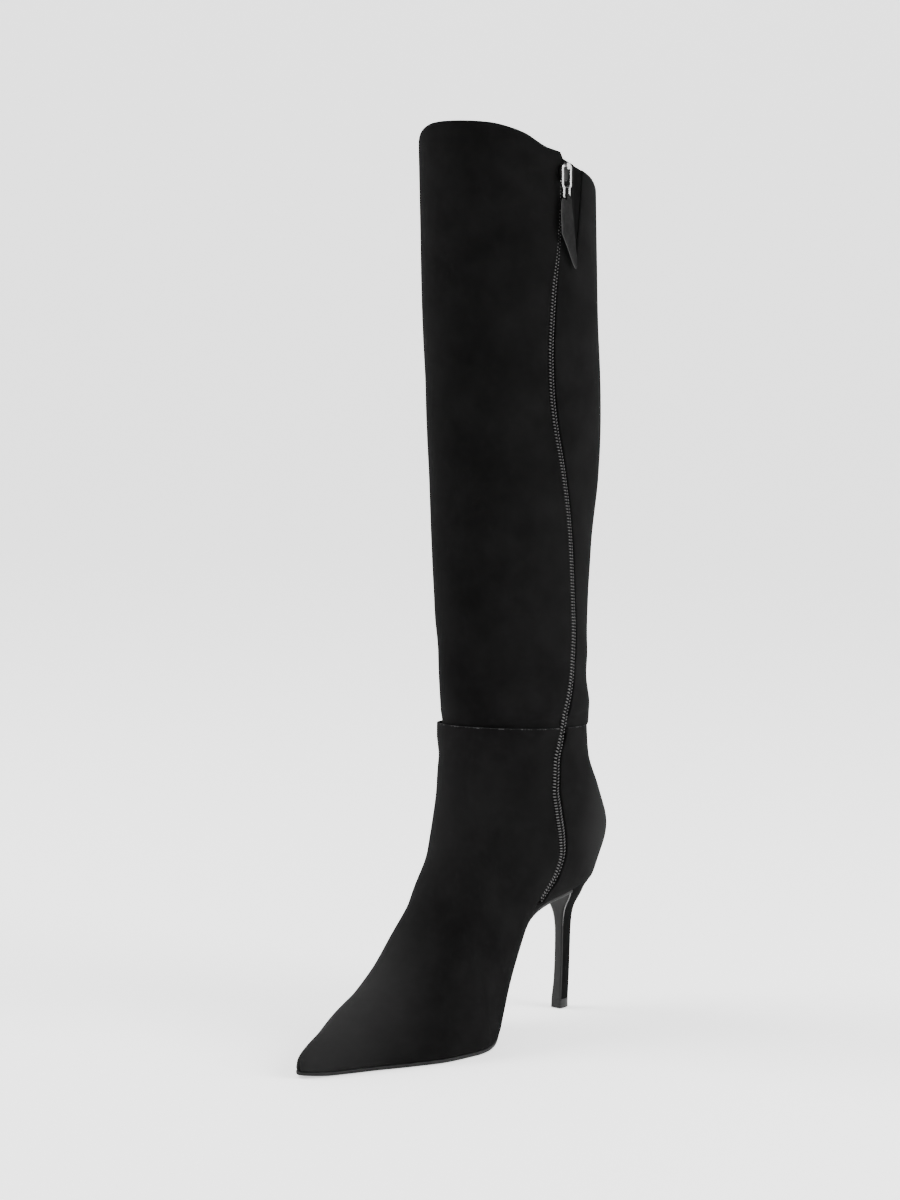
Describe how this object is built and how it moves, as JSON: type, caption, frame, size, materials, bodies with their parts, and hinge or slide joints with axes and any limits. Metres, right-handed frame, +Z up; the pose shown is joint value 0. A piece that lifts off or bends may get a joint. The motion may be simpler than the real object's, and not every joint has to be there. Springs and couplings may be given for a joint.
{
  "type": "knee-high boot",
  "caption": "Right knee-high stiletto boot with a pointed toe, an inner side zip and an elastic V at the top.",
  "frame": {"origin": "point on the face that the heel tip stands on, under the ankle", "axes": "+Z up, toe toward -Y, +X toward the inner side of the foot"},
  "size_m": [0.1016, 0.2603, 0.5336],
  "materials": {
    "suede": "black suede",
    "sole_leather": "polished edge",
    "lining": "smooth lining",
    "breast_leather": "glossy dark grey",
    "heel_tip": "satin",
    "zip_coil": "shiny coil",
    "tape": "woven",
    "elastic": "ribbed elastic",
    "zip_metal": "polished nickel"
  },
  "bodies": {
    "boot": {"upper": "suede", "shaft": "suede", "outsole": "sole_leather", "insole": "lining", "heel": "suede", "heel_breast": "breast_leather", "top_lift": "heel_tip", "zip_chain": "zip_coil", "zip_tape": "tape", "elastic_gore": "elastic", "zip_slider": "zip_metal"},
    "pull": {"zip_pull": "zip_metal", "pull_strap": "suede"}
  },
  "joints": [
    {"name": "pull", "type": "hinge", "parent": "boot", "child": "pull", "pos_m": [0.05124, -0.0575, 0.5081], "axis": [0, -1, 0], "range_deg": [0, 150]}
  ]
}
